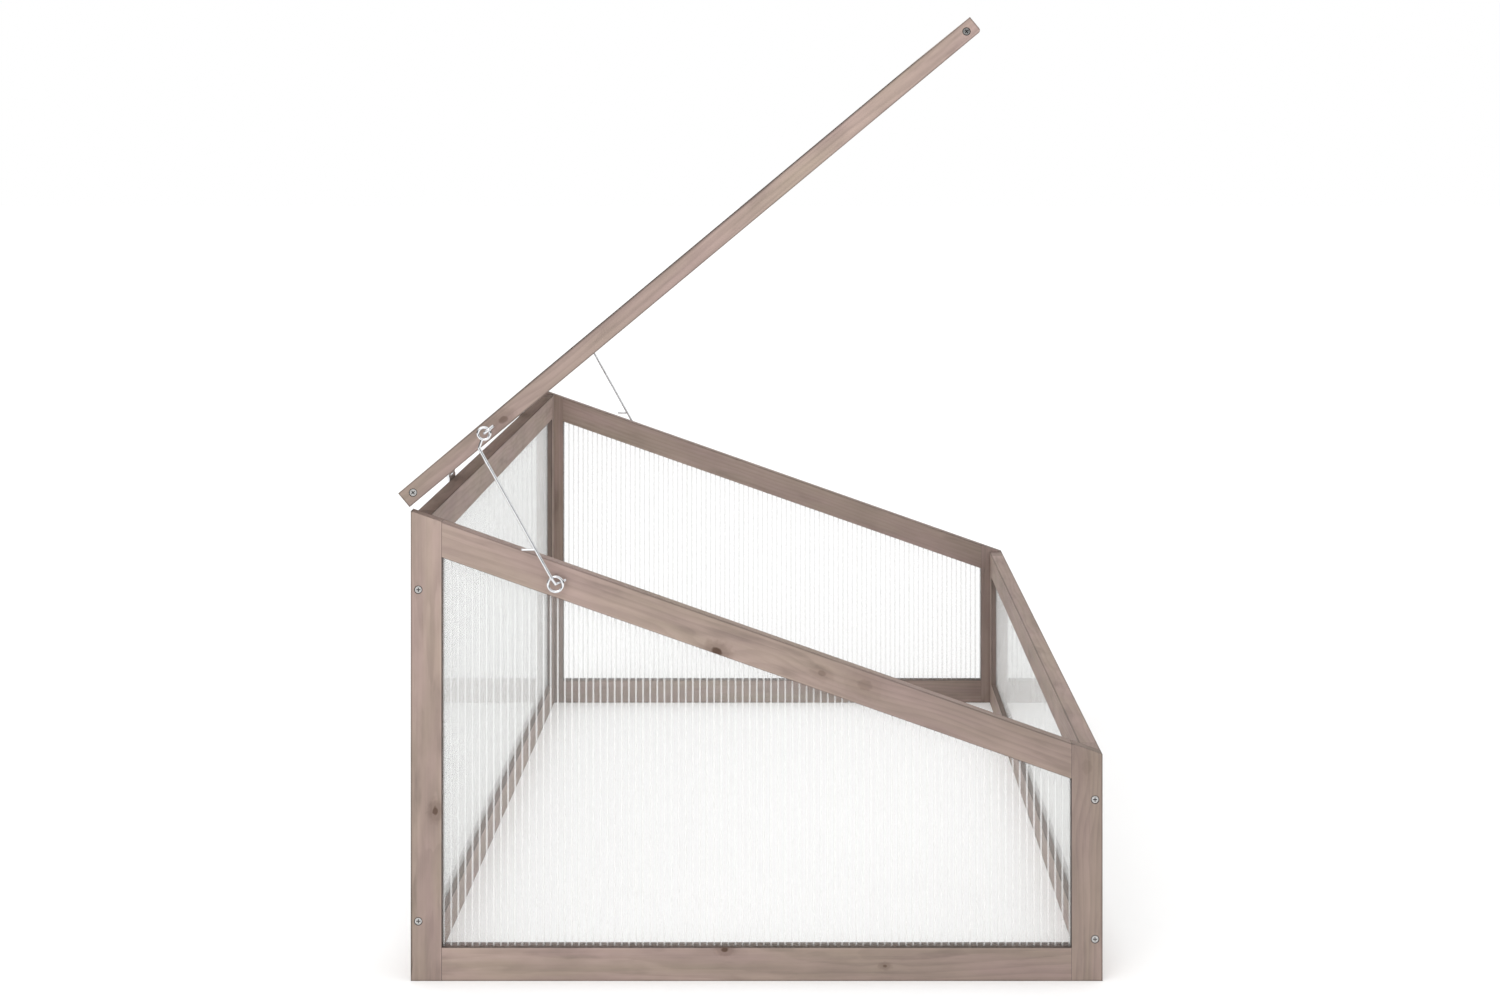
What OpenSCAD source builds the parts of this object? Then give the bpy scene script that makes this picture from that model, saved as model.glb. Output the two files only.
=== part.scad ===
// Cold frame: four framed panels around a bottomless bed, with a hinged lid on two hook stays.
// X runs along the frame, +Y points to the tall rear wall and +Z up. The origin is on the ground
// at the middle of the footprint. The lid is drawn raised, with its hooks in the frame's eyes.

/* [Overall] */
// Length along X, over the end panels
length = 1100; // [900:10:1400]
// Depth along Y, front face to rear face
depth = 580; // [480:10:700]
// Height of the rear edge of the end panels
rear_h = 394; // [320:2:470]
// Height of the front edge of the end panels
front_h = 190; // [160:2:240]

/* [Timber] */
// Thickness of every frame member
board_t = 15; // [14:0.5:20]
// Width of the end panels' posts
post_w = 26; // [22:1:34]
// Width of the rails and of the rear and front panels' stiles
rail_w = 28; // [24:1:34]
// Width of the lid's members
lid_w = 33; // [28:1:40]
// Length of the lid from its rear edge to its front edge
lid_len = 624; // [500:2:780]
// Rounding of the lid's lower front edge
nose_r = 3; // [1:0.5:5]

/* [Sheets] */
// Thickness of the polycarbonate sheets
sheet_t = 4; // [3:0.5:5]
// How far a sheet or a tongue reaches into its groove
sheet_in = 5; // [3:0.5:6]

/* [Opening] */
// Angle of the raised lid above level
raised = 39.8; // [20:0.2:60]
// Height of the closed lid above the end panels
seat_gap = 0.5; // [0.4:0.1:1]

/* [Hinges] */
// Distance of each hinge from the middle of the frame
hinge_x = 294; // [200:2:400]
// Length of a hinge along its pin
hinge_w = 40; // [30:1:60]
// Thickness of the hinge plates
leaf_t = 1.2; // [1:0.1:1.6]
// Radius of the hinge knuckles
knuckle_r = 2.6; // [2.4:0.1:3]
// Radius of the hinge pins
pin_r = 1.2; // [1:0.1:1.4]

/* [Stays] */
// Distance of the lid's eyes from the lid's rear edge
lid_eye_u = 94; // [80:1:120]
// Distance of the frame's eyes in front of the rear face
frame_eye_in = 122; // [110:1:140]
// Depth of the frame's eyes' shanks below the end panels' sloping edge
frame_eye_down = 11; // [9:0.5:18]
// Radius of the wire that hooks and eyes are bent from
wire_r = 1.25; // [1:0.05:1.5]
// Radius of the frame eye's ring, to the middle of its wire
frame_ring_r = 6.25; // [5.5:0.25:7.5]
// Radius of the lid eye's ring and of the hook's loop, to the middle of the wire
loop_r = 5; // [4.75:0.25:6]
// Distance from the middle of the hook's loop to the bend that starts its straight run
neck_len = 13; // [11:0.5:20]
// Angle between that neck and the line from the loop to the frame's eye
neck_turn = 44; // [0:1:50]
// Length of the finger spur on a hook
spur_len = 11; // [8:0.5:14]
// Angle of the hook's nose above level
nose_lift = 20; // [0:1:35]

/* [Fasteners] */
// Radius of the wood screws' shanks
shank_r = 1.6; // [1.4:0.1:2]
// Radius of the wood screws' heads
head_r = 2.9; // [2.8:0.1:3.6]
// Height of a wood screw's head
head_h = 1.8; // [1.4:0.1:2.2]

/* [Hidden] */
$fn = 48;
fit = 0.1;     // clearance around sheets, tongues and screws
air = 0.3;     // least clearance between moving pieces
over = 1;      // how far a cutter runs past the face it cuts
spare = 1;     // depth of a groove beyond the sheet in it
shoulder = 8;  // from a member's outer edge to its tongue

half_l = length / 2;
half_d = depth / 2;
slope = atan((rear_h - front_h) / depth);
post_in = half_d - post_w;        // inner edge of a post, from the middle
end_in = half_l - board_t;        // inner face of an end panel
wall_in = half_d - board_t;       // inner face of the rear and front panels
stile_in = end_in - rail_w;       // inner edge of a stile
end_mid = half_l - board_t / 2;   // middle of an end panel's thickness
wall_mid = half_d - board_t / 2;  // middle of a rear or front panel's thickness
rear_top = rear_h - board_t * tan(slope);  // square-cut top of the rear panel
groove_in = sheet_in + spare;
groove_t = sheet_t + 2 * fit;
rail_rise = rail_w / cos(slope);  // height of the sloping rail, measured upright

// The hinge axis is as far from the frame's rear face as from the closed lid's rear edge.
axis_off = knuckle_r + air;
axis_y = half_d + axis_off;
axis_z = rear_h + seat_gap / cos(slope) + axis_off * tan(slope / 2);
lid_under = axis_off * tan(slope / 2);  // lid's underside above the axis, in the lid's own frame
lid_mid = lid_under + board_t / 2;
lid_top = lid_under + board_t;
lid_front = axis_off + lid_len;
bay_out = half_l - lid_w;               // inner edge of the lid's side rails
bay_mid = lid_w / 2;                    // half the width of the lid's middle bar
leaf_low = 28;                          // reach of the frame's hinge plate below the axis
leaf_high = lid_top - 1;                // reach of the lid's hinge plate above the axis
knuckle_gap = knuckle_r + air;          // plates stop this far from the axis beside the knuckles
lap = 3;                                // how far a knuckle's neck runs down its plate
pin_head_r = 2;                         // radius of a pin's heads
pin_head_t = 0.8;                       // thickness of a pin's heads

// Stays: how far out from the end panels the wires lie
hook_off = 10.4;                        // middle of the hook's wire
eye_off = 7;                            // ring of the frame's eye
lid_ring_off = 9;                       // middle of the lid eye's ring
weave = 2 * wire_r + 0.5;               // hook wire to ring wire, where one crosses the other
hair = 0.05;                            // joined wires differ by this, so that no faces coincide
nose_run = 1.3;                         // length of the hook's nose, in radii of the frame's ring
spur_r = 1;                             // radius of the finger spur
spur_share = 0.78;                      // where the spur leaves the wire, as a share of its run
eye_depth = 11;                         // how deep an eye is screwed in
eye_y = half_d - frame_eye_in;
eye_z = top_at(eye_y) - frame_eye_down - frame_ring_r;
loop_back = sqrt(pow(loop_r, 2) - pow(hook_off - lid_ring_off, 2));
loop_at = lid_point(axis_off + lid_eye_u - loop_back, lid_mid);

// Corner screws: heights on the posts, and distance from the rear or front face
screw_in = 6.3;
rear_screws = [50, rear_h - 66];
front_screws = [35, front_h - 38];
screw_len = 30;
sunk = head_h + 0.3;                    // depth of a sunk head's underside below the face
head_fit = 0.4;                         // clearance around a sunk head
tip = 3;                                // length of a screw's point
tip_r = 0.3;                            // radius at the end of the point
cross = [3.6, 0.8, 1.6];                // cross recess: length, width and twice its depth
hinge_screw_len = 12;
hinge_screw_x = hinge_w / 2 - 8;        // from the middle of a hinge
frame_screw_z = axis_z - (knuckle_gap + leaf_low) / 2;
lid_screw_z = (knuckle_gap + leaf_high) / 2;
lid_screw_in = 10;                      // from the lid's rear or front edge

wood = [0.55, 0.47, 0.43];
clear_sheet = [0.86, 0.9, 0.92, 0.45];
zinc = [0.75, 0.76, 0.78];
dark_zinc = [0.35, 0.34, 0.34];

// Height of an end panel's sloping top edge at depth y
function top_at(y) = front_h + (y + half_d) * tan(slope);

// A point of the raised lid in the frame's [y, z]: u forward of the axis, w above it
function lid_point(u, w) = [
    axis_y - u * cos(raised) + w * sin(raised),
    axis_z + u * sin(raised) + w * cos(raised)
];

// A stretch of an end panel that follows its slope, from drop a to drop b below the top edge
function band(y0, y1, a, b) = [
    [y0, top_at(y0) - b], [y1, top_at(y1) - b], [y1, top_at(y1) - a], [y0, top_at(y0) - a]
];

// The field of an end panel, from height low up to a drop below the sloping edge
function field(y_in, low, drop) = [
    [-y_in, low], [y_in, low], [y_in, top_at(y_in) - drop], [-y_in, top_at(-y_in) - drop]
];

module box(low, high) {
    translate(low) cube(high - low);
}

// Extrudes an outline drawn in [y, z] from x0 to x1
module along_x(x0, x1) {
    translate([x0, 0, 0]) rotate([90, 0, 90]) linear_extrude(x1 - x0) children();
}

// An outline drawn in [y, z] as a layer of thickness t in the left end panel's middle
module end_layer(t) {
    along_x(-end_mid - t / 2, -end_mid + t / 2) children();
}

module mirrored(right) {
    if (right) mirror([1, 0, 0]) children();
    else children();
}

// Places the lid's own frame: x along the hinge, -y forward, z off the lid's face
module on_lid() {
    translate([0, axis_y, axis_z]) rotate([-raised, 0, 0]) children();
}

module screw(len, sink) {
    translate([0, 0, -sink]) {
        difference() {
            cylinder(r = head_r, h = head_h);
            for (turn = [0, 90])
                rotate(turn) translate([0, 0, head_h]) cube(cross, center = true);
        }
        translate([0, 0, sink + tip - len]) cylinder(r = shank_r, h = len - sink - tip);
        translate([0, 0, sink - len]) cylinder(r1 = tip_r, r2 = shank_r, h = tip);
    }
}

// Room for a screw whose head's underside lies sunk below the face
module screw_room(len, sink) {
    translate([0, 0, -len - spare]) cylinder(r = shank_r + fit, h = len + spare + over);
    if (sink > 0) translate([0, 0, -sink]) cylinder(r = head_r + head_fit, h = sink + over);
}

// Hole for an eye's shank, bored in from the outer face of the left end
module eye_room() {
    translate([-half_l - over, 0, 0]) rotate([0, 90, 0])
        cylinder(r = wire_r + fit, h = over + eye_depth + spare);
}

module each_corner_screw() {
    for (right = [false, true]) mirrored(right) {
        for (z = rear_screws)
            translate([-half_l, half_d - screw_in, z]) rotate([0, -90, 0]) children();
        for (z = front_screws)
            translate([-half_l, screw_in - half_d, z]) rotate([0, -90, 0]) children();
    }
}

module each_hinge_screw_on_frame() {
    for (x = [-hinge_x, hinge_x], dx = [-hinge_screw_x, hinge_screw_x])
        translate([x + dx, half_d, frame_screw_z]) rotate([-90, 0, 0]) children();
}

module each_hinge_screw_on_lid() {
    for (x = [-hinge_x, hinge_x], dx = [-hinge_screw_x, hinge_screw_x])
        translate([x + dx, -axis_off, lid_screw_z]) rotate([-90, 0, 0]) children();
}

module each_lid_corner_screw() {
    for (right = [false, true], u = [axis_off + lid_screw_in, lid_front - lid_screw_in])
        mirrored(right) translate([-half_l, -u, lid_mid]) rotate([0, -90, 0]) children();
}

module each_lid_bar_screw() {
    translate([0, -axis_off, lid_mid]) rotate([-90, 0, 0]) children();
    translate([0, -lid_front, lid_mid]) rotate([90, 0, 0]) children();
}

// End panels

module rear_post(right) {
    outline = [
        [post_in, 0], [half_d, 0], [half_d, top_at(half_d)], [post_in, top_at(post_in)]
    ];
    color(wood) difference() {
        mirrored(right) along_x(-half_l, -end_in) polygon(outline);
        mirrored(right) end_layer(groove_t)
            polygon(field(post_in + groove_in, shoulder, shoulder));
        each_corner_screw() screw_room(screw_len, sunk);
    }
}

module front_post(right) {
    outline = [
        [-half_d, 0], [-post_in, 0], [-post_in, top_at(-post_in)], [-half_d, top_at(-half_d)]
    ];
    color(wood) difference() {
        mirrored(right) along_x(-half_l, -end_in) polygon(outline);
        mirrored(right) end_layer(groove_t)
            polygon(field(post_in + groove_in, shoulder, shoulder));
        each_corner_screw() screw_room(screw_len, sunk);
    }
}

module end_top_rail(right) {
    tongue_y = post_in + sheet_in;
    inner = groove_in / cos(slope);
    color(wood) mirrored(right) difference() {
        union() {
            along_x(-half_l, -end_in) polygon(band(-post_in, post_in, 0, rail_rise));
            end_layer(sheet_t) polygon(band(-tongue_y, tongue_y, shoulder + spare,
                                            rail_rise - inner));
        }
        end_layer(groove_t) polygon(field(post_in, rail_w, rail_rise - inner));
        translate([0, eye_y, eye_z + frame_ring_r]) eye_room();
    }
}

module end_bottom_rail(right) {
    tongue_y = post_in + sheet_in;
    color(wood) mirrored(right) difference() {
        union() {
            box([-half_l, -post_in, 0], [-end_in, post_in, rail_w]);
            box([-end_mid - sheet_t / 2, -tongue_y, shoulder + spare],
                [-end_mid + sheet_t / 2, tongue_y, rail_w - groove_in]);
        }
        box([-end_mid - groove_t / 2, -post_in, rail_w - groove_in],
            [-end_mid + groove_t / 2, post_in, rail_w + over]);
    }
}

module end_sheet(right) {
    color(clear_sheet) mirrored(right) end_layer(sheet_t)
        polygon(field(post_in + sheet_in, rail_w - sheet_in,
                      rail_rise - sheet_in / cos(slope)));
}

// Rear and front panels: one set of members, drawn for the rear and turned for the front

module wall_stile(top) {
    difference() {
        box([-end_in, wall_in, 0], [-stile_in, half_d, top]);
        box([-stile_in - groove_in, wall_mid - groove_t / 2, shoulder],
            [-stile_in + over, wall_mid + groove_t / 2, top - shoulder]);
    }
}

// A rail with tongues, its groove on the upper edge
module wall_rail() {
    tongue_x = stile_in + sheet_in;
    difference() {
        union() {
            box([-stile_in, wall_in, 0], [stile_in, half_d, rail_w]);
            box([-tongue_x, wall_mid - sheet_t / 2, shoulder + spare],
                [tongue_x, wall_mid + sheet_t / 2, rail_w - groove_in]);
        }
        box([-stile_in, wall_mid - groove_t / 2, rail_w - groove_in],
            [stile_in, wall_mid + groove_t / 2, rail_w + over]);
    }
}

module wall_sheet(top) {
    reach = stile_in + sheet_in;
    box([-reach, wall_mid - sheet_t / 2, rail_w - sheet_in],
        [reach, wall_mid + sheet_t / 2, top - rail_w + sheet_in]);
}

// The same rail hung under a panel's top, groove downwards
module hung_rail(top) {
    translate([0, 0, top]) mirror([0, 0, 1]) wall_rail();
}

module rear_stile(right) {
    color(wood) difference() {
        mirrored(right) wall_stile(rear_top);
        each_corner_screw() screw_room(screw_len, 0);
    }
}

module front_stile(right) {
    color(wood) difference() {
        mirrored(right) mirror([0, 1, 0]) wall_stile(front_h);
        each_corner_screw() screw_room(screw_len, 0);
    }
}

module rear_top_rail() {
    color(wood) difference() {
        hung_rail(rear_top);
        each_hinge_screw_on_frame() screw_room(hinge_screw_len, 0);
    }
}

module rear_bottom_rail() {
    color(wood) wall_rail();
}

module rear_sheet() {
    color(clear_sheet) wall_sheet(rear_top);
}

module front_top_rail() {
    color(wood) mirror([0, 1, 0]) hung_rail(front_h);
}

module front_bottom_rail() {
    color(wood) mirror([0, 1, 0]) wall_rail();
}

module front_sheet() {
    color(clear_sheet) mirror([0, 1, 0]) wall_sheet(front_h);
}

module corner_screws() {
    color(dark_zinc) each_corner_screw() screw(screw_len, sunk);
}

// Hinges

module knuckle(x0, x1) {
    along_x(x0, x1) circle(r = knuckle_r);
}

module hinge_bore() {
    along_x(-hinge_w, hinge_w) circle(r = pin_r + fit / 2);
}

// Hole through a plate that lies on a screw's face
module leaf_hole() {
    translate([0, 0, leaf_t]) screw_room(leaf_t, 0);
}

module hinge_frame_leaf(right) {
    inner = hinge_w / 6 + air / 2;
    outer = hinge_w / 2;
    // From the plate's back up to the knuckle, in [y, z] from the axis
    neck = [
        [-axis_off, -knuckle_gap - lap], [leaf_t - axis_off, -knuckle_gap - lap],
        [0, -0.6 * knuckle_r], [-0.85 * knuckle_r, -0.3 * knuckle_r]
    ];
    color(zinc) mirrored(right) translate([-hinge_x, axis_y, axis_z]) difference() {
        union() {
            box([-outer, -axis_off, -leaf_low], [outer, leaf_t - axis_off, -knuckle_gap]);
            for (side = [false, true]) mirrored(side) {
                knuckle(-outer, -inner);
                along_x(-outer, -inner) polygon(neck);
            }
        }
        hinge_bore();
        translate([hinge_x, -axis_y, -axis_z]) each_hinge_screw_on_frame() leaf_hole();
    }
}

module hinge_lid_leaf(right) {
    inner = hinge_w / 6 - air / 2;
    outer = hinge_w / 2;
    color(zinc) on_lid() mirrored(right) translate([-hinge_x, 0, 0]) difference() {
        union() {
            box([-outer, -axis_off, knuckle_gap], [outer, leaf_t - axis_off, leaf_high]);
            box([-inner, -axis_off, lid_under + fit],
                [inner, leaf_t - axis_off, knuckle_gap + over]);
            knuckle(-inner, inner);
        }
        hinge_bore();
        translate([hinge_x, 0, 0]) each_hinge_screw_on_lid() leaf_hole();
    }
}

module hinge_pin(right) {
    end = hinge_w / 2;
    color(zinc) mirrored(right) translate([-hinge_x, axis_y, axis_z]) {
        along_x(-end - pin_head_t, end + pin_head_t) circle(r = pin_r);
        for (side = [false, true]) mirrored(side)
            along_x(end, end + pin_head_t) circle(r = pin_head_r);
    }
}

module hinge_frame_screws() {
    color(zinc) each_hinge_screw_on_frame() screw(hinge_screw_len, -leaf_t);
}

module hinge_lid_screws() {
    color(zinc) on_lid() each_hinge_screw_on_lid() screw(hinge_screw_len, -leaf_t);
}

// Lid, drawn in its own frame

module lid_groove(x0, x1, u0, u1) {
    box([x0, -u1, lid_mid - groove_t / 2], [x1, -u0, lid_mid + groove_t / 2]);
}

module lid_tongue(x0, x1, u0, u1) {
    box([x0, -u1, lid_mid - sheet_t / 2], [x1, -u0, lid_mid + sheet_t / 2]);
}

// Cross-section of the lid along its slope in [y, z], rounded at the lower front edge
module lid_outline(u0) {
    difference() {
        translate([-lid_front, lid_under]) square([lid_front - u0, board_t]);
        translate([-lid_front - over, lid_under - over]) square(nose_r + over);
    }
    translate([nose_r - lid_front, lid_under + nose_r]) circle(r = nose_r);
}

module lid_side_rail(right) {
    rear_u = axis_off + shoulder;
    front_u = lid_front - shoulder;
    color(wood) on_lid() difference() {
        mirrored(right) along_x(-half_l, -bay_out) lid_outline(axis_off);
        mirrored(right) lid_groove(-bay_out - groove_in, -bay_out + over, rear_u, front_u);
        each_lid_corner_screw() screw_room(lid_w, sunk);
        mirrored(right) translate([0, -axis_off - lid_eye_u, lid_mid]) eye_room();
    }
}

module lid_rear_rail() {
    reach = bay_out + sheet_in;
    edge = axis_off + lid_w;
    color(wood) on_lid() difference() {
        union() {
            box([-bay_out, -edge, lid_under], [bay_out, -axis_off, lid_top]);
            lid_tongue(-reach, reach, axis_off + shoulder + spare, edge - groove_in);
        }
        lid_groove(-bay_out, bay_out, edge - groove_in, edge + over);
        each_hinge_screw_on_lid() screw_room(hinge_screw_len, 0);
        each_lid_corner_screw() screw_room(screw_len + lid_w, 0);
        each_lid_bar_screw() screw_room(screw_len + lid_w, sunk);
    }
}

module lid_front_rail() {
    reach = bay_out + sheet_in;
    edge = lid_front - lid_w;
    color(wood) on_lid() difference() {
        union() {
            along_x(-bay_out, bay_out) lid_outline(edge);
            lid_tongue(-reach, reach, edge + groove_in, lid_front - shoulder - spare);
        }
        lid_groove(-bay_out, bay_out, edge - over, edge + groove_in);
        each_lid_corner_screw() screw_room(screw_len + lid_w, 0);
        each_lid_bar_screw() screw_room(screw_len + lid_w, sunk);
    }
}

module lid_middle_bar() {
    rear_u = axis_off + lid_w;
    front_u = lid_front - lid_w;
    color(wood) on_lid() difference() {
        union() {
            box([-bay_mid, -front_u, lid_under], [bay_mid, -rear_u, lid_top]);
            lid_tongue(groove_in - bay_mid, bay_mid - groove_in,
                       rear_u - sheet_in, front_u + sheet_in);
        }
        for (side = [false, true]) mirrored(side)
            lid_groove(-bay_mid - over, groove_in - bay_mid, rear_u, front_u);
        each_lid_bar_screw() screw_room(screw_len + lid_w, sunk);
    }
}

module lid_sheet(right) {
    color(clear_sheet) on_lid() mirrored(right)
        lid_tongue(-bay_out - sheet_in, sheet_in - bay_mid,
                   axis_off + lid_w - sheet_in, lid_front - lid_w + sheet_in);
}

module lid_corner_screws() {
    color(dark_zinc) on_lid() each_lid_corner_screw() screw(screw_len + lid_w, sunk);
}

module lid_bar_screws() {
    color(dark_zinc) on_lid() each_lid_bar_screw() screw(screw_len + lid_w, sunk);
}

// Stays

module ring(r) {
    rotate_extrude() translate([r, 0]) circle(r = wire_r);
}

// Straight wire from a to b
module wire(a, b, r = wire_r) {
    run = b - a;
    translate(a) rotate([0, acos(run.z / norm(run)), atan2(run.y, run.x)])
        cylinder(r = r, h = norm(run));
}

// Round bend or round end of a wire
module bend(at, r = wire_r) {
    translate(at) sphere(r = r + hair);
}

module frame_eye(right) {
    color(zinc) mirrored(right) translate([-half_l, eye_y, eye_z]) {
        translate([-eye_off, 0, 0]) rotate([0, 90, 0]) ring(frame_ring_r);
        wire([-eye_off, 0, frame_ring_r], [eye_depth, 0, frame_ring_r]);
    }
}

module lid_eye(right) {
    color(zinc) on_lid() mirrored(right)
        translate([-half_l, -axis_off - lid_eye_u, lid_mid]) {
            translate([-lid_ring_off, 0, 0]) ring(loop_r);
            wire([loop_r - lid_ring_off, 0, 0], [eye_depth, 0, 0]);
        }
}

module stay_hook(right) {
    loop = [-half_l - hook_off, loop_at.x, loop_at.y];
    eye = [-half_l - eye_off, eye_y, eye_z];
    neck_lift = atan2(eye.z - loop.z, eye.y - loop.y) + neck_turn;
    neck = [0, cos(neck_lift), sin(neck_lift)];
    neck_end = loop + neck_len * neck;
    run = (eye - neck_end) / norm(eye - neck_end);
    nose = [0, -cos(nose_lift), sin(nose_lift)];
    // The wire passes outside the ring, dives through its hole and comes out behind it.
    over_ring = eye - frame_ring_r * run - [weave, 0, 0];
    behind_ring = eye + nose_run * (frame_ring_r * nose + [weave, 0, 0]);
    spur_at = neck_end + spur_share * (over_ring - neck_end);
    spur_end = spur_at + [0, spur_len, 0];
    color(zinc) mirrored(right) {
        translate(loop) rotate([0, 90, 0]) ring(loop_r);
        wire(loop + loop_r * neck, neck_end, wire_r - hair);
        wire(neck_end, over_ring);
        wire(over_ring, eye);
        wire(eye, behind_ring);
        wire(spur_at, spur_end, spur_r);
        bend(neck_end);
        bend(over_ring);
        bend(eye);
        bend(behind_ring);
        bend(spur_end, spur_r);
    }
}

rear_post(false);  // rear_post_left
rear_post(true);  // rear_post_right
front_post(false);  // front_post_left
front_post(true);  // front_post_right
end_top_rail(false);  // end_top_rail_left
end_top_rail(true);  // end_top_rail_right
end_bottom_rail(false);  // end_bottom_rail_left
end_bottom_rail(true);  // end_bottom_rail_right
end_sheet(false);  // end_sheet_left
end_sheet(true);  // end_sheet_right
rear_stile(false);  // rear_stile_left
rear_stile(true);  // rear_stile_right
rear_top_rail();
rear_bottom_rail();
rear_sheet();
front_stile(false);  // front_stile_left
front_stile(true);  // front_stile_right
front_top_rail();
front_bottom_rail();
front_sheet();
corner_screws();
hinge_frame_leaf(false);  // hinge_frame_leaf_left
hinge_frame_leaf(true);  // hinge_frame_leaf_right
hinge_pin(false);  // hinge_pin_left
hinge_pin(true);  // hinge_pin_right
hinge_frame_screws();
frame_eye(false);  // frame_eye_left
frame_eye(true);  // frame_eye_right
lid_side_rail(false);  // lid_side_rail_left
lid_side_rail(true);  // lid_side_rail_right
lid_rear_rail();
lid_front_rail();
lid_middle_bar();
lid_sheet(false);  // lid_sheet_left
lid_sheet(true);  // lid_sheet_right
hinge_lid_leaf(false);  // hinge_lid_leaf_left
hinge_lid_leaf(true);  // hinge_lid_leaf_right
hinge_lid_screws();
lid_corner_screws();
lid_bar_screws();
lid_eye(false);  // lid_eye_left
lid_eye(true);  // lid_eye_right
stay_hook(false);  // stay_hook_left
stay_hook(true);  // stay_hook_right
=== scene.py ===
"""Looks of the cold frame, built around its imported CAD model."""

import math
import random

import bmesh
import bpy
import numpy as np
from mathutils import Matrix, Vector


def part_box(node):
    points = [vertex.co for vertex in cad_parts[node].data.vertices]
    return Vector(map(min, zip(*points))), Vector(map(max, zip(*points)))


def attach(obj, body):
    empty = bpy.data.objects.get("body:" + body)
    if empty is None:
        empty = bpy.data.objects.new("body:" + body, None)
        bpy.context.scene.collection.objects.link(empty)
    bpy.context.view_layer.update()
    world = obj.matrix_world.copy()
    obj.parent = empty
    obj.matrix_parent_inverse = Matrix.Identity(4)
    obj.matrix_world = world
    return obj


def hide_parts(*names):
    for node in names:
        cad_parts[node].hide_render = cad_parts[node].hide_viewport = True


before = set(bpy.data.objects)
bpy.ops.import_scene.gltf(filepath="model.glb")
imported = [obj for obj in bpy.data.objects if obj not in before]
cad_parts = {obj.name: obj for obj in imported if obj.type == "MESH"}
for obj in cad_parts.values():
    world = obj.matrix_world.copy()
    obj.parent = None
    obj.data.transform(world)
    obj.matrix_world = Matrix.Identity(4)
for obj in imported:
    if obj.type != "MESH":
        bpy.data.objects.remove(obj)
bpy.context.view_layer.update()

# ---------------------------------------------------------------- camera

# Level camera in front of the left end, looking along +X. The lens is in millimetres and the
# shift in shares of the frame's width; both come from fitting the photo's perspective.
EYE = (-2.6937, -0.0383, 0.6945)
LENS = 61.37
SHIFT = (-0.0349, -0.2316)


def make_camera():
    data = bpy.data.cameras.new("camera")
    data.lens = LENS
    data.shift_x, data.shift_y = SHIFT
    camera = bpy.data.objects.new("camera", data)
    camera.location = EYE
    camera.rotation_euler = (math.radians(90), 0, math.radians(-90))
    bpy.context.scene.collection.objects.link(camera)
    bpy.context.scene.camera = camera


make_camera()

# ---------------------------------------------------------------- measures from the frame


def corners(node):
    """The vertices of a CAD node, one row each."""
    return np.array([v.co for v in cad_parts[node].data.vertices])


def reach(node, way):
    """How far a CAD node goes along a direction, from the origin."""
    return float((corners(node) @ np.array(way)).max())


sheet_points = corners("lid_sheet_left")
foot = sheet_points[sheet_points[:, 2].argmin()]
front = sheet_points[sheet_points[:, 1].argmin()]
LID_DOWN = Vector(front - foot).normalized()       # from the lid's rear edge to its front
LID_UP = Vector((1, 0, 0)).cross(-LID_DOWN).normalized()   # off the lid's outer face
rear_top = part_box("rear_post_left")[1].z
front_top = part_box("front_stile_left")[1].z
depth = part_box("rear_post_left")[1].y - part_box("front_post_left")[0].y
SLOPE = Vector((0, depth, rear_top - front_top)).normalized()    # up an end panel's top edge
UNDER = Vector((0, SLOPE.z, -SLOPE.y))                           # below that edge
X, Y, Z = Vector((1, 0, 0)), Vector((0, 1, 0)), Vector((0, 0, 1))

# ---------------------------------------------------------------- materials


class Graph:
    """One material's nodes, made in code."""

    def __init__(self, name):
        self.material = bpy.data.materials.new(name)
        self.material.use_nodes = True
        self.tree = self.material.node_tree
        self.tree.nodes.clear()

    def node(self, kind, inputs, **settings):
        made = self.tree.nodes.new("ShaderNode" + kind)
        for key, value in settings.items():
            setattr(made, key, value)
        for key, value in inputs.items():
            if isinstance(value, bpy.types.NodeSocket):
                self.tree.links.new(value, made.inputs[key])
            else:
                made.inputs[key].default_value = value
        return made

    def math(self, operation, *values):
        inputs = dict(enumerate(values))
        return self.node("Math", inputs, operation=operation).outputs[0]

    def vector(self, operation, *values):
        inputs = dict(enumerate(values))
        made = self.node("VectorMath", inputs, operation=operation)
        return made.outputs["Value" if operation in ("LENGTH", "DOT_PRODUCT") else "Vector"]

    def scaled(self, vector, factor):
        return self.node("VectorMath", {0: vector, "Scale": factor}, operation="SCALE").outputs[0]

    def object_place(self):
        return self.node("TexCoord", {}).outputs["Object"]

    def noise(self, vector, scale, detail=2.0, roughness=0.5, distortion=0.0):
        """Noise from 0 to 1; scale holds one figure per axis, in cycles per metre."""
        stretched = self.vector("MULTIPLY", vector, scale)
        return self.node("TexNoise", {"Vector": stretched, "Scale": 1.0, "Detail": detail,
                                      "Roughness": roughness,
                                      "Distortion": distortion}).outputs[0]

    def ranged(self, value, low, high, out_low, out_high, smooth=False):
        kind = "SMOOTHSTEP" if smooth else "LINEAR"
        inputs = {"Value": value, "From Min": low, "From Max": high,
                  "To Min": out_low, "To Max": out_high}
        return self.node("MapRange", inputs, interpolation_type=kind).outputs["Result"]

    def mixed(self, factor, a, b):
        return self.node("Mix", {0: factor, 6: a, 7: b}, data_type="RGBA").outputs[2]

    def bump(self, height, strength, distance):
        return self.node("Bump", {"Height": height, "Strength": strength,
                                  "Distance": distance}).outputs[0]

    def finish(self, **sockets):
        shader = self.node("BsdfPrincipled", {k.replace("_", " "): v for k, v in sockets.items()})
        self.node("OutputMaterial", {"Surface": shader.outputs[0]})
        return self.material


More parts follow.
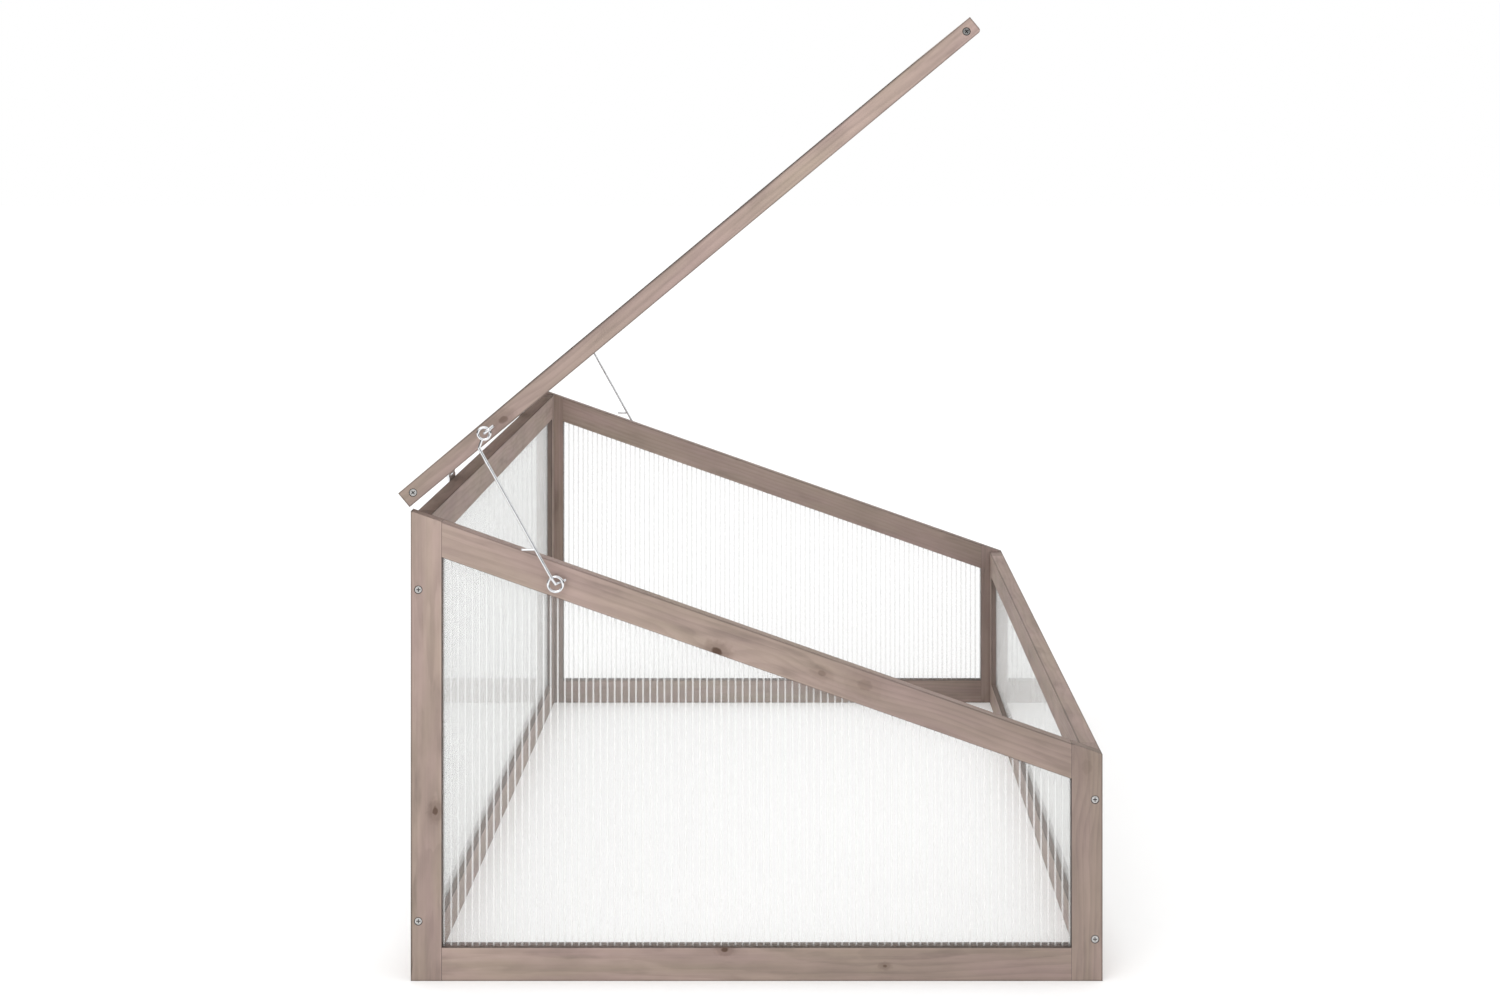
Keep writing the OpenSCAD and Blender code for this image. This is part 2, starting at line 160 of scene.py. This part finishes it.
STAIN_PINK = (0.366, 0.270, 0.242, 1)
STAIN_TAN = (0.342, 0.268, 0.218, 1)
KNOT_BROWN = (0.095, 0.055, 0.038, 1)
SCREW_STEEL = (0.56, 0.55, 0.54)
LIP_DEPTH = 0.0056     # from a member's outer face to its sheet
HOLE_R = 0.0033        # of the recess around a sunk screw's head
HEAD_SLICE = 0.0004    # what counts as a screw head's top, below its highest point
HEADS_APART = 0.008    # points nearer than this are on one head
ARRIS = 0.0007         # rounding of the timber's edges


def wood(name, grain, seed, tone, span, lips, rims, knots, screws):
    """Stained fir. grain runs along the member, tone is its lightness at either end of span,
    lips are (direction, distance, outward, distance) of faces beside a sheet, rims are
    (direction, distance) of the edges away from it, knots are (place, radius, strength), and
    screws are (place, axis) of sunk heads."""
    draw = random.Random(seed)
    g = Graph(name)
    here = g.object_place()
    turn = grain.rotation_difference(X).to_euler()
    shift = Vector((draw.uniform(-9, 9), draw.uniform(-9, 9), draw.uniform(-9, 9)))
    along = g.node("Mapping", {"Vector": here, "Rotation": turn}).outputs[0]
    board = g.vector("ADD", along, tuple(shift))
    normal = g.node("NewGeometry", {}).outputs["Normal"]
    normal = g.node("VectorTransform", {"Vector": normal}, vector_type="NORMAL",
                    convert_from="WORLD", convert_to="OBJECT").outputs[0]
    end_face = g.math("ABSOLUTE", g.vector("DOT_PRODUCT", normal, tuple(grain)))
    end_face = g.ranged(end_face, 0.8, 0.95, 0.0, 1.0)

    # Knots, longer along the grain, and the rings' swell around them
    dark = None
    swell = None
    for place, radius, strength in knots:
        off = g.vector("SUBTRACT", here, tuple(place))
        run = g.vector("DOT_PRODUCT", off, tuple(grain))
        less = g.scaled(tuple(grain), g.math("MULTIPLY", run, 0.35))
        gap = g.vector("LENGTH", g.vector("SUBTRACT", off, less))
        wobble = g.noise(here, (260, 260, 260), 2.0)
        gap = g.math("MULTIPLY", gap, g.ranged(wobble, 0.2, 0.8, 0.75, 1.25))
        spot = g.ranged(gap, radius * 0.45, radius * 1.05, 1.0, 0.0, True)
        halo = g.ranged(gap, radius, radius * 2.6, 0.4, 0.0, True)
        spot = g.math("MULTIPLY", g.math("MAXIMUM", spot, halo), strength)
        dark = spot if dark is None else g.math("MAXIMUM", dark, spot)
        less = g.scaled(tuple(grain), g.math("MULTIPLY", run, 0.7))
        long_gap = g.vector("LENGTH", g.vector("SUBTRACT", off, less))
        push = g.ranged(long_gap, 0.0, radius * 4, radius * 1.3, 0.0, True)
        swell = push if swell is None else g.math("ADD", swell, push)

    # Growth rings around a pith outside the board
    angle = draw.uniform(0, 2 * math.pi)
    away = draw.uniform(0.03, 0.07)
    pith = (0, math.cos(angle) * away, math.sin(angle) * away)
    middle = g.vector("ADD", along, tuple(-c for c in pith))
    middle = g.vector("ADD", middle, tuple(-c for c in offset_of(name, turn)))
    lateral = g.vector("MULTIPLY", middle, (0, 1, 1))
    radial = g.vector("LENGTH", lateral)
    warp = g.noise(board, (3.5, 26, 26), 3.0)
    radial = g.math("ADD", radial, g.ranged(warp, 0, 1, -0.011, 0.011))
    if swell is not None:
        radial = g.math("ADD", radial, swell)
    spacing = draw.uniform(0.0032, 0.0050)
    turns = g.math("FRACT", g.math("DIVIDE", radial, spacing))
    late = g.math("MULTIPLY", g.ranged(turns, 0.25, 0.86, 0.0, 1.0, True),
                  g.ranged(turns, 0.9, 1.0, 1.0, 0.0, True))

    broad = g.noise(board, (5, 45, 45), 2.0)
    blotch = g.noise(board, (22, 70, 70), 3.0, 0.6)
    fibre = g.noise(board, (7, 420, 420), 4.0, 0.65)
    pores = g.noise(board, (26, 900, 900), 2.0, 0.6)
    smudge = g.noise(board, (16, 75, 75), 3.0, 0.55)
    hue = g.noise(board, (9, 60, 60), 2.0)

    colour = g.mixed(g.ranged(hue, 0.3, 0.7, 0.0, 1.0), STAIN_PINK, STAIN_TAN)
    light = g.ranged(broad, 0.25, 0.75, 0.90, 1.11)
    light = g.math("MULTIPLY", light, g.ranged(blotch, 0.25, 0.75, 0.89, 1.09))
    light = g.math("MULTIPLY", light, g.ranged(fibre, 0.2, 0.8, 0.91, 1.07))
    light = g.math("MULTIPLY", light, g.ranged(smudge, 0.54, 0.74, 1.0, 0.80, True))
    light = g.math("MULTIPLY", light, g.ranged(pores, 0.3, 0.42, 0.95, 1.0))
    light = g.math("MULTIPLY", light, g.ranged(late, 0, 1, 1.02, 0.92))
    light = g.math("MULTIPLY", light, g.ranged(end_face, 0, 1, 1.0, 0.82))
    position = g.vector("DOT_PRODUCT", here, tuple(grain))
    light = g.math("MULTIPLY", light, g.ranged(position, span[0], span[1], tone[0], tone[1]))
    # Painted shade in the recess of each sunk screw
    for place, axis in screws:
        off = g.vector("SUBTRACT", here, tuple(place))
        run = g.scaled(tuple(axis), g.vector("DOT_PRODUCT", off, tuple(axis)))
        gap = g.vector("LENGTH", g.vector("SUBTRACT", off, run))
        light = g.math("MULTIPLY", light, g.ranged(gap, HOLE_R, HOLE_R + 0.0003, 0.30, 1.0, True))
    # Lips beside a sheet: a dark joint that is partly painted shade in the groove, a painted
    # highlight on the arris beside it, and painted shade on the lip behind the sheet
    for way, distance, out, face in lips:
        gap = g.math("SUBTRACT", distance, g.vector("DOT_PRODUCT", here, tuple(way)))
        inside = g.math("SUBTRACT", face, g.vector("DOT_PRODUCT", here, tuple(out)))
        shade = g.ranged(gap, 0.0002, 0.0005, 0.40, 1.0)
        off_highlight = g.math("ABSOLUTE", g.math("SUBTRACT", gap, 0.0010))
        painted_arris_shading = g.ranged(off_highlight, 0.0, 0.0006, 1.14, 1.0)
        shade = g.math("MULTIPLY", shade, painted_arris_shading)
        past = g.ranged(inside, LIP_DEPTH, LIP_DEPTH + 0.0005, 0.0, 1.0)
        behind = g.ranged(gap, 0.0002, 0.0005, 0.6, 1.0)
        shade = g.math("ADD", shade, g.math("MULTIPLY", past, g.math("SUBTRACT", behind, shade)))
        light = g.math("MULTIPLY", light, shade)
    # Darkened arrises elsewhere: painted shade, such as the contact shadow along a member's foot
    for way, distance in rims:
        gap = g.math("SUBTRACT", distance, g.vector("DOT_PRODUCT", here, tuple(way)))
        painted_arris_shading = g.ranged(gap, 0.0003, 0.0015, 0.42, 0.0, True)
        beside = g.ranged(g.vector("DOT_PRODUCT", normal, tuple(way)), 0.75, 0.9, 1.0, 0.0)
        painted_arris_shading = g.math("MULTIPLY", painted_arris_shading, beside)
        light = g.math("MULTIPLY", light, g.math("SUBTRACT", 1.0, painted_arris_shading))
    colour = g.scaled(colour, light)
    if dark is not None:
        colour = g.mixed(dark, colour, KNOT_BROWN)
    height = g.math("ADD", g.math("MULTIPLY", fibre, 0.7), g.math("MULTIPLY", late, 0.3))
    rough = g.ranged(fibre, 0.2, 0.8, 0.55, 0.72)
    return g.finish(Base_Color=colour, Roughness=rough, Specular_IOR_Level=0.3,
                    Normal=g.bump(height, 0.35, 0.0004))


def offset_of(node, turn):
    """Middle of a node in the turned frame that wood() draws its rings in."""
    low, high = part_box(node)
    middle = (low + high) / 2
    middle.rotate(turn)
    return (0.0, middle.y, middle.z)


def zinc(name, colour, rough, spangle, tops=()):
    """Zinc-plated steel: soft sheen with cloudy patches. What lies below the screw heads' tops,
    given as (direction, distance), gets painted shade: the cross recesses."""
    g = Graph(name)
    here = g.object_place()
    cloud = g.noise(here, (260, 260, 260), 3.0, 0.6)
    fine = g.noise(here, (2400, 2400, 2400), 2.0)
    light = g.math("MULTIPLY", g.ranged(cloud, 0.3, 0.7, 1 - spangle, 1 + spangle / 2),
                   g.ranged(fine, 0.3, 0.7, 0.96, 1.03))
    # Painted shade below the screw heads' tops, in their cross recesses
    depth = None
    for way, distance in tops:
        below = g.math("SUBTRACT", distance, g.vector("DOT_PRODUCT", here, tuple(way)))
        depth = below if depth is None else g.math("MINIMUM", depth, below)
    if depth is not None:
        light = g.math("MULTIPLY", light, g.ranged(depth, 0.0001, 0.0003, 1.0, 0.12))
    shade = g.scaled(colour, light)
    roughness = g.ranged(cloud, 0.3, 0.7, rough * 0.8, rough * 1.3)
    return g.finish(Base_Color=shade, Metallic=1.0, Roughness=roughness,
                    Normal=g.bump(fine, 0.12, 0.0001))


def polycarbonate(name, colour, clearness, edge, rough):
    """Clear plastic that turns milky where it is seen along its face, partly haze and partly a
    painted reflection of the white studio. clearness is what passes straight through, and edge is
    the opacity along the face."""
    g = Graph(name)
    cloud = g.noise(g.object_place(), (30, 30, 30), 2.0)
    facing = g.node("LayerWeight", {"Blend": 0.5}).outputs["Facing"]
    alpha = g.ranged(g.math("POWER", facing, 4.0), 0.0, 1.0, 1 - clearness, edge)
    roughness = g.ranged(cloud, 0.3, 0.7, rough * 0.8, rough * 1.2)
    return g.finish(Base_Color=colour, Roughness=roughness, IOR=1.58, Alpha=alpha)


ZINC = zinc("zinc", (0.80, 0.81, 0.83), 0.17, 0.12)
SKIN = polycarbonate("sheet_skin", (0.71, 0.725, 0.715, 1), 0.960, 0.50, 0.03)
RIB = polycarbonate("sheet_rib", (0.92, 0.925, 0.92, 1), 0.74, 0.7, 0.25)

# ---------------------------------------------------------------- timber

# Members by name: grain, the faces towards a sheet, and lightness from one end to the other
MEMBERS = {
    "rear_post": (Z, [-Y], (0.83, 1.14)),
    "front_post": (Z, [Y], (0.81, 0.80)),
    "end_top_rail": (SLOPE, [UNDER], (0.83, 1.09)),
    "end_bottom_rail": (Y, [Z], (0.82, 1.01)),
    "rear_stile": (Z, [X], (0.96, 1.02)),
    "front_stile": (Z, [X], (1.0, 0.98)),
    "rear_top_rail": (X, [-Z], (1.0, 1.04)),
    "rear_bottom_rail": (X, [Z], (1.02, 0.96)),
    "front_top_rail": (X, [-Z], (0.97, 1.03)),
    "front_bottom_rail": (X, [Z], (0.95, 1.02)),
    "lid_side_rail": (LID_DOWN, [X], (0.90, 1.22)),
    "lid_rear_rail": (X, [LID_DOWN], (1.0, 1.03)),
    "lid_front_rail": (X, [-LID_DOWN], (1.04, 0.99)),
    "lid_middle_bar": (LID_DOWN, [X, -X], (0.97, 1.03)),
}


def side_of(node):
    return -1 if node.endswith("_right") else 1


# Knots on the near members: share of the way along the grain, across from the sheet's side
# and out to the face, then radius and strength. The other members draw theirs.
KNOTS = {
    "rear_post_left": [((0.362, 0.21), 0.0034, 0.9)],
    "end_top_rail_left": [((0.555, 0.08), 0.0044, 1.0), ((0.40, 0.50), 0.0034, 0.5),
                          ((0.335, 0.60), 0.0062, 0.38)],
    "end_bottom_rail_left": [((0.55, 0.06), 0.0030, 1.0), ((0.30, 0.55), 0.0018, 0.8)],
    "lid_side_rail_left": [((0.172, 1.0, 0.40), 0.0040, 0.7)],
    "front_post_left": [((0.90, 0.50), 0.0060, 0.25)],
}


def spot(node, grain, way, out, run, rise, up=1.0):
    """A place on a member, by shares of its length, of its width from the sheet's side, and
    of its thickness."""
    place = Vector((0, 0, 0))
    for axis, share in ((grain, run), (way, 1 - rise), (out, up)):
        low, high = -reach(node, -axis), reach(node, axis)
        place += axis * (low + share * (high - low))
    return place


def heads(node, *ways):
    """Places of a node's screw heads, by their outermost points along each direction."""
    found = []
    for way in ways:
        points = corners(node)
        top = points @ np.array(way)
        points = points[top > top.max() - HEAD_SLICE]
        while len(points):
            near = np.linalg.norm(points - points[0], axis=1) < HEADS_APART
            found.append((Vector(points[near].mean(axis=0)), way))
            points = points[~near]
    return found


SCREWS = {
    "rear_post": heads("corner_screws", X, -X),
    "front_post": heads("corner_screws", X, -X),
    "lid_side_rail": heads("lid_corner_screws", X, -X),
    "lid_rear_rail": heads("lid_bar_screws", -LID_DOWN),
    "lid_front_rail": heads("lid_bar_screws", LID_DOWN),
}


def outward(node):
    """Off the outer face of a member's panel."""
    if node.startswith("lid"):
        return LID_UP
    if node.startswith("end") or "_post" in node:
        return -X * side_of(node)
    return Y if node.startswith("rear") else -Y


def dress_timber():
    seed = 0
    for family, (grain, ways, tone) in MEMBERS.items():
        names = (family, family + "_left", family + "_right")
        for node in sorted(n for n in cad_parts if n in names):
            seed += 1
            faces = [Vector((w.x * side_of(node), w.y, w.z)) for w in ways]
            out = outward(node)
            lips = [(way, reach(node, way), out, reach(node, out)) for way in faces]
            edges = [-way for way in faces if -way not in faces] + [out, -out, grain, -grain]
            rims = [(way, reach(node, way)) for way in edges]
            span = (-reach(node, -grain), reach(node, grain))
            if node in KNOTS:
                knots = [(spot(node, grain, faces[0], out, *share), radius, strength)
                         for share, radius, strength in KNOTS[node]]
            else:
                draw = random.Random(100 + seed)
                knots = [(spot(node, grain, faces[0], out, draw.uniform(0.08, 0.92),
                               draw.uniform(0.15, 0.85)),
                          draw.uniform(0.0016, 0.0032), draw.uniform(0.6, 0.9))
                         for _ in range(draw.choice((0, 1, 1, 2)))]
            material = wood(node, grain, seed, tone, span, lips, rims, knots,
                            SCREWS.get(family, ()))
            paint(node, material)
            soften(node, ARRIS)


def paint(node, *materials):
    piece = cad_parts[node]
    piece.data.materials.clear()
    for material in materials:
        piece.data.materials.append(material)


def soften(node, width):
    """Rounds a CAD node's sharp edges."""
    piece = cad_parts[node]
    weld = piece.modifiers.new("weld", "WELD")
    weld.merge_threshold = 1e-5
    flat = piece.modifiers.new("flat", "DECIMATE")
    flat.decimate_type = "DISSOLVE"
    flat.angle_limit = math.radians(0.5)
    bevel = piece.modifiers.new("arris", "BEVEL")
    bevel.width = width
    bevel.segments = 2
    bevel.limit_method = "ANGLE"
    bevel.angle_limit = math.radians(40)
    bevel.use_clamp_overlap = True


dress_timber()

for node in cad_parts:
    if node.startswith(("hinge", "frame_eye", "lid_eye", "stay_hook")):
        paint(node, ZINC)
    elif node.endswith("_screws"):
        ways = (LID_DOWN, -LID_DOWN) if "bar" in node else (X, -X)
        tops = [(way, reach(node, way)) for way in ways]
        paint(node, zinc(node, SCREW_STEEL, 0.28, 0.25, tops))

# ---------------------------------------------------------------- sheets

PITCH = 0.006          # from rib to rib
SKIN_T = 0.0004        # thickness of a sheet's two skins
RIB_HALF = 0.00025     # half a rib's thickness
FILLET = 0.0004        # the thickening where a rib meets a skin


def twin_wall(node, body, across, flutes, off):
    """A fluted sheet in the place of a plain CAD one: across is along its width, flutes the
    way of its channels, and off its thickness. A sloping end follows the CAD node's."""
    points = corners(node)
    u, f, n = (points @ np.array(way) for way in (across, flutes, off))
    n0, n1 = float(n.min()), float(n.max())
    u0, u1 = float(u.min()), float(u.max())
    ends = []
    for pick in (min, max):
        at_first = float(pick(f[u < u0 + 1e-4]))
        at_last = float(pick(f[u > u1 - 1e-4]))
        ends.append((at_first, at_last))
    count = round((u1 - u0) / PITCH)
    pitch = (u1 - u0) / count
    mesh = bmesh.new()
    made = {}

    def vertex(at_u, at_n, end):
        key = (round(at_u, 7), round(at_n, 7), end)
        if key not in made:
            share = (at_u - u0) / (u1 - u0)
            at_f = ends[end][0] + share * (ends[end][1] - ends[end][0])
            made[key] = mesh.verts.new(Vector(across) * at_u + Vector(flutes) * at_f
                                       + Vector(off) * at_n)
        return made[key]

    def wall(a, b, slot):
        face = mesh.faces.new([vertex(*a, 0), vertex(*b, 0), vertex(*b, 1), vertex(*a, 1)])
        face.material_index = slot

    def caps(outline):
        for end in (0, 1):
            mesh.faces.new([vertex(*p, end) for p in outline]).material_index = 1

    for cell in range(count):
        a, b = u0 + cell * pitch, u0 + (cell + 1) * pitch
        inner = RIB_HALF + FILLET
        low, high = n0 + SKIN_T, n1 - SKIN_T
        hole = [(a + inner, low), (b - inner, low), (b - RIB_HALF, low + FILLET),
                (b - RIB_HALF, high - FILLET), (b - inner, high), (a + inner, high),
                (a + RIB_HALF, high - FILLET), (a + RIB_HALF, low + FILLET)]
        for i, slot in enumerate((0, 1, 1, 1, 0, 1, 1, 1)):
            wall(hole[i], hole[(i + 1) % 8], slot)
        for side, level in ((n0, low), (n1, high)):
            wall((a, side), (a + inner, side), 1)
            wall((a + inner, side), (b - inner, side), 0)
            wall((b - inner, side), (b, side), 1)
            caps([(a + inner, side), (b - inner, side), (b - inner, level), (a + inner, level)])
        for side, level, turn in ((n0, low, FILLET), (n1, high, -FILLET)):
            caps([(a, side), (a + inner, side), (a + inner, level), (a + RIB_HALF, level + turn)])
            caps([(b, side), (b - inner, side), (b - inner, level), (b - RIB_HALF, level + turn)])
        for edge, rib in ((a, a + RIB_HALF), (b, b - RIB_HALF)):
            caps([(edge, n0), (rib, low + FILLET), (rib, high - FILLET), (edge, n1)])
    wall((u0, n0), (u0, n1), 1)
    wall((u1, n0), (u1, n1), 1)
    bmesh.ops.recalc_face_normals(mesh, faces=mesh.faces)
    data = bpy.data.meshes.new("fluted_" + node)
    mesh.to_mesh(data)
    mesh.free()
    data.materials.append(SKIN)
    data.materials.append(RIB)
    piece = bpy.data.objects.new("fluted_" + node, data)
    bpy.context.scene.collection.objects.link(piece)
    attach(piece, body)
    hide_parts(node)
    return piece


for node in ("end_sheet_left", "end_sheet_right"):
    twin_wall(node, "frame", Y, Z, X)
for node in ("rear_sheet", "front_sheet"):
    twin_wall(node, "frame", X, Z, Y)
for node in ("lid_sheet_left", "lid_sheet_right"):
    twin_wall(node, "lid", X, LID_DOWN, LID_UP)

# ---------------------------------------------------------------- studio

FLOOR_HALF = 30.0


def make_floor():
    mesh = bmesh.new()
    bmesh.ops.create_grid(mesh, x_segments=1, y_segments=1, size=FLOOR_HALF)
    data = bpy.data.meshes.new("floor")
    mesh.to_mesh(data)
    mesh.free()
    floor = bpy.data.objects.new("floor", data)
    bpy.context.scene.collection.objects.link(floor)
    g = Graph("floor")
    faint = g.noise(g.object_place(), (2, 2, 2))
    shade = g.scaled((0.97, 0.97, 0.97), g.ranged(faint, 0.3, 0.7, 0.995, 1.0))
    data.materials.append(g.finish(Base_Color=shade, Roughness=1.0, Specular_IOR_Level=0.0,
                                   Emission_Color=(1, 1, 1, 1), Emission_Strength=0.12))


def make_world():
    world = bpy.data.worlds.new("studio")
    world.use_nodes = True
    world.node_tree.nodes["Background"].inputs["Color"].default_value = (1, 1, 1, 1)
    world.node_tree.nodes["Background"].inputs["Strength"].default_value = 1.0
    bpy.context.scene.world = world


def soft_light(name, place, target, size, power):
    data = bpy.data.lights.new(name, "AREA")
    data.shape = "SQUARE"
    data.size = size
    data.energy = power
    lamp = bpy.data.objects.new(name, data)
    lamp.location = place
    lamp.rotation_euler = (Vector(target) - Vector(place)).to_track_quat("-Z", "Y").to_euler()
    bpy.context.scene.collection.objects.link(lamp)


def make_horizon():
    """A dark band around the studio that only reflections see, which gives the metal its edges."""
    mesh = bmesh.new()
    bmesh.ops.create_cone(mesh, segments=64, radius1=7, radius2=7, depth=3)
    data = bpy.data.meshes.new("horizon")
    mesh.to_mesh(data)
    mesh.free()
    band = bpy.data.objects.new("horizon", data)
    band.location = (0, 0, 1.1)
    bpy.context.scene.collection.objects.link(band)
    g = Graph("horizon")
    streak = g.noise(g.object_place(), (0.4, 0.4, 1.2))
    shade = g.scaled((0.1, 0.1, 0.1), g.ranged(streak, 0.3, 0.7, 0.2, 1.5))
    data.materials.append(g.finish(Base_Color=shade, Roughness=1.0))
    band.visible_camera = band.visible_diffuse = band.visible_shadow = False
    band.visible_transmission = band.visible_volume_scatter = False


make_floor()
make_world()
make_horizon()
soft_light("key", (-4.2, 1.6, 2.6), (0, 0, 0.3), 2.4, 45)

scene = bpy.context.scene
scene.view_settings.view_transform = "Standard"
scene.cycles.transparent_max_bounces = 64
